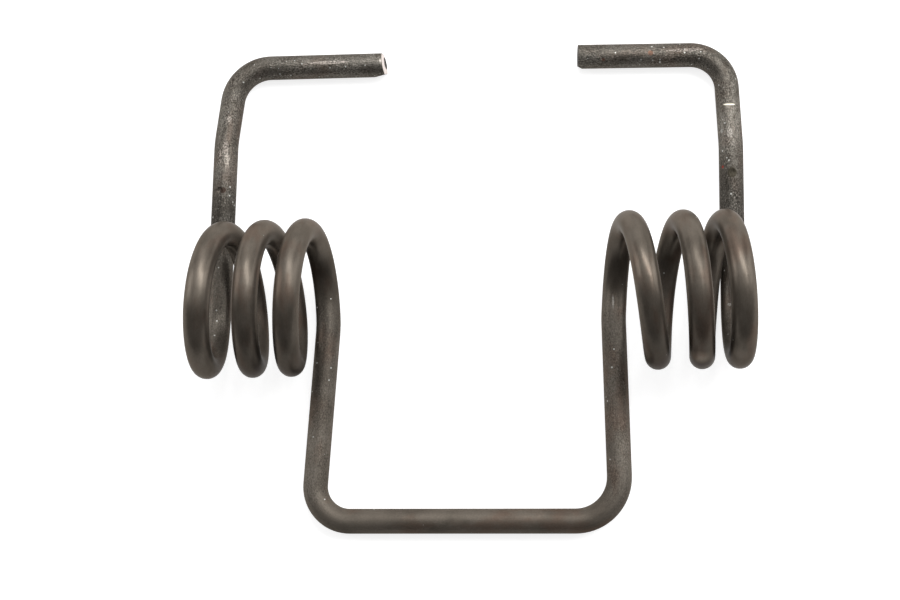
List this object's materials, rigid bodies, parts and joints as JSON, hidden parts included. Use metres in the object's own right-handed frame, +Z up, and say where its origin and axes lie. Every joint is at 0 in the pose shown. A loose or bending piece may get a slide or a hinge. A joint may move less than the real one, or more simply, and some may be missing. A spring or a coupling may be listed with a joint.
{
  "type": "double torsion spring",
  "caption": "Double torsion spring bent from round steel wire, with a U-shaped bail between its open coils and an arm on each side that ends in a hook turned inwards.",
  "frame": {"origin": "on the axis of the coils, midway between the coils' inner ends", "axes": "+X along the axis of the coils, +Y towards the hooks, +Z up from the surface the spring lies on, which the coils stand up from"},
  "size_m": [0.1334, 0.1217, 0.0388],
  "materials": {
    "wire_steel": "dark grey-brown oxide skin from drawing and tempering, satin, with bare bright metal on the cut ends"
  },
  "bodies": {
    "root": {"spring_wire": "wire_steel"}
  },
  "joints": []
}
